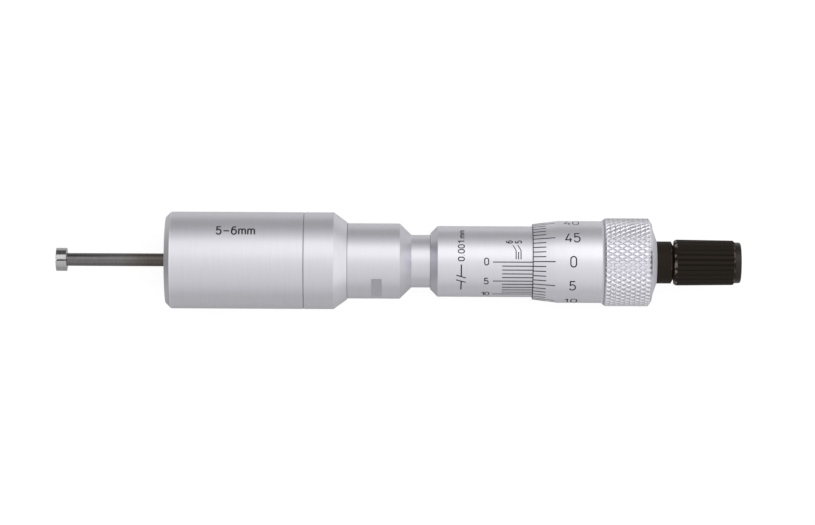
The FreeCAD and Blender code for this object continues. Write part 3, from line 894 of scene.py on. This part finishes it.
def card():
    """A small grey card beside the head, seen only in reflections: it makes the head's dark band."""
    material, nodes = new_material("card_look")
    grey = nodes.add("ShaderNodeBsdfDiffuse", {"Color": (CARD_GREY, CARD_GREY, CARD_GREY, 1)}).outputs[0]
    nodes.add("ShaderNodeOutputMaterial", {"Surface": grey})
    (front, rear), (low, high) = CARD_X, CARD_Z
    corners = [(front, CARD_Y, low), (rear, CARD_Y, low), (rear, CARD_Y, high), (front, CARD_Y, high)]
    piece = plate("card", corners, material)
    for ray in ("camera", "diffuse", "shadow", "transmission", "volume_scatter"):
        setattr(piece, "visible_" + ray, False)


def world():
    """A soft room, brighter above, darker in front of the head; white behind the object."""
    room = bpy.data.worlds.new("room")
    bpy.context.scene.world = room
    room.use_nodes = True
    nodes = Nodes(room.node_tree)
    direction = nodes.add("ShaderNodeTexCoord").outputs["Generated"]
    split = nodes.add("ShaderNodeSeparateXYZ", {0: direction})
    x, y, z = (split.outputs[i] for i in range(3))
    turn = nodes.math("MULTIPLY", nodes.math("ARCTAN2", y, z), 0.5 / math.pi)
    across = nodes.ramp(nodes.math("ADD", turn, 0.5), grey_stops(ROOM, 360))
    along = nodes.ramp(nodes.math("ADD", nodes.math("MULTIPLY", x, 0.5), 0.5), grey_stops(ROOM_ALONG, 2))
    level = nodes.add("ShaderNodeMapRange", {
        0: x, 1: ROOM_REAR_FROM, 2: ROOM_REAR_TO, 3: across, 4: ROOM_REAR,
    }).outputs[0]
    seen = nodes.add("ShaderNodeLightPath").outputs["Is Camera Ray"]
    shown = nodes.add("ShaderNodeMixShader", {
        0: seen,
        1: nodes.add("ShaderNodeBackground", {"Color": level, "Strength": along}).outputs[0],
        2: nodes.add("ShaderNodeBackground", {"Color": (1, 1, 1, 1)}).outputs[0],
    })
    nodes.add("ShaderNodeOutputWorld", {"Surface": shown.outputs[0]})


def grey_stops(levels, span):
    """Ramp stops from pairs of a place between minus and plus half the span and a level."""
    return [(0.5 + place / span, (level, level, level)) for place, level in levels]


def floor():
    """A plain pale floor; to the camera it is white with a faint shadow."""
    material, nodes = new_material("floor_look")
    seen = nodes.add("ShaderNodeLightPath").outputs["Is Camera Ray"]
    place = nodes.add("ShaderNodeTexCoord").outputs["Object"]
    y = nodes.add("ShaderNodeSeparateXYZ", {0: place}).outputs[1]
    half_span = FLOOR_SPAN / 2 * MM
    share = nodes.add("ShaderNodeMapRange", {0: y, 1: -half_span, 2: half_span, 3: 0.0, 4: 1.0}).outputs[0]
    lit = nodes.add("ShaderNodeBsdfDiffuse", {
        "Color": nodes.ramp(share, grey_stops(FLOOR_LEVELS, FLOOR_SPAN)),
    }).outputs[0]
    shade = nodes.add("ShaderNodeBsdfDiffuse", {
        "Color": (FLOOR_SHADE, FLOOR_SHADE, FLOOR_SHADE, 1),
    }).outputs[0]
    glow = nodes.add("ShaderNodeEmission", {"Color": (1, 1, 1, 1), "Strength": FLOOR_GLOW}).outputs[0]
    white = nodes.add("ShaderNodeAddShader", {0: shade, 1: glow}).outputs[0]
    shown = nodes.add("ShaderNodeMixShader", {0: seen, 1: lit, 2: white}).outputs[0]
    nodes.add("ShaderNodeOutputMaterial", {"Surface": shown})
    corners = [(x * FLOOR_HALF, y * FLOOR_HALF, FLOOR_Z) for x, y in ((-1, -1), (1, -1), (1, 1), (-1, 1))]
    plane = plate("floor", corners, material)


dress_nodes()
thimble(KNURLED)
return_spring(SPRING)
flats(MILLED)
drum_marks(INK_AND_SHADE)
sleeve_marks(INK_AND_SHADE)
thimble_marks(INK_AND_SHADE)
meeting_lines(INK_AND_SHADE)
camera()
key_light()
card()
world()
floor()
bpy.context.scene.view_settings.view_transform = "Standard"
